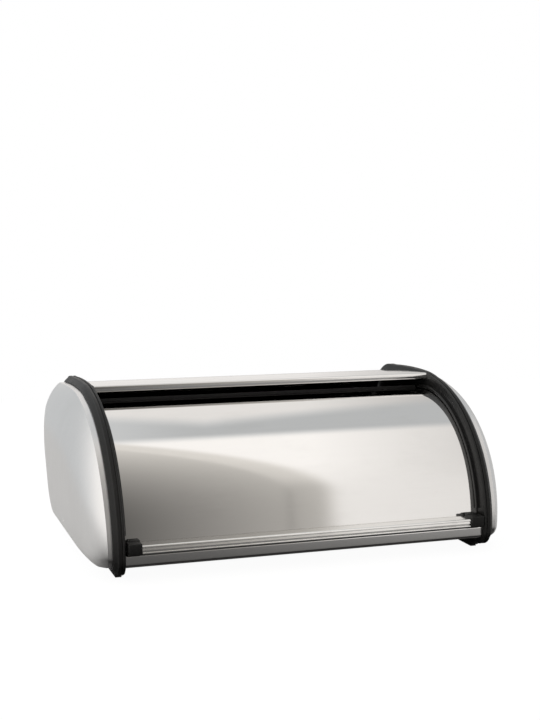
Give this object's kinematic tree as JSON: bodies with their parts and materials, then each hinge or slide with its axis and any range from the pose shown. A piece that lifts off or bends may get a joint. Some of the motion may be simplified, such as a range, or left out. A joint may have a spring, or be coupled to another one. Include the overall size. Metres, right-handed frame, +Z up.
{
  "type": "bread box with roll top",
  "caption": "Bread box with a curved steel lid that rolls back under the top on grooved black side frames, with domed ends and a bar handle.",
  "frame": {"origin": "on the surface that the box stands on, under the middle of its bounding box", "axes": "X across the width, with +X to the right of someone facing the front; the front and its handle face -Y; Z up"},
  "size_m": [0.446, 0.288, 0.1672],
  "materials": {
    "polished_steel": "polished stainless sheet",
    "satin_steel": "fine satin stainless",
    "black_plastic": "moulded, satin",
    "anodised_aluminium": "satin anodised",
    "black_rubber": "matt",
    "zinc_steel": "zinc plated"
  },
  "bodies": {
    "root": {"body_sheet": "polished_steel", "left_cap_screw_1": "zinc_steel", "left_cap_screw_2": "zinc_steel", "left_cap_screw_3": "zinc_steel", "left_cap_screw_4": "zinc_steel", "left_end_cap": "satin_steel", "left_front_base_rivet": "zinc_steel", "left_front_foot_pad": "black_rubber", "left_rear_base_rivet": "zinc_steel", "left_rear_foot_pad": "black_rubber", "left_side_frame": "black_plastic", "right_cap_screw_1": "zinc_steel", "right_cap_screw_2": "zinc_steel", "right_cap_screw_3": "zinc_steel", "right_cap_screw_4": "zinc_steel", "right_end_cap": "satin_steel", "right_front_base_rivet": "zinc_steel", "right_front_foot_pad": "black_rubber", "right_rear_base_rivet": "zinc_steel", "right_rear_foot_pad": "black_rubber", "right_side_frame": "black_plastic"},
    "lid": {"handle_rail": "anodised_aluminium", "left_lid_glide": "black_plastic", "left_rail_end": "black_plastic", "left_rail_screw": "zinc_steel", "lid_sheet": "polished_steel", "middle_rail_screw": "zinc_steel", "rear_edge_strip": "black_plastic", "right_lid_glide": "black_plastic", "right_rail_end": "black_plastic", "right_rail_screw": "zinc_steel"}
  },
  "joints": [
    {"name": "lid_roll", "type": "hinge", "parent": "root", "child": "lid", "pos_m": [0, 0.0005, 0.0215], "axis": [-1, 0, 0], "range_deg": [0, 74]}
  ]
}
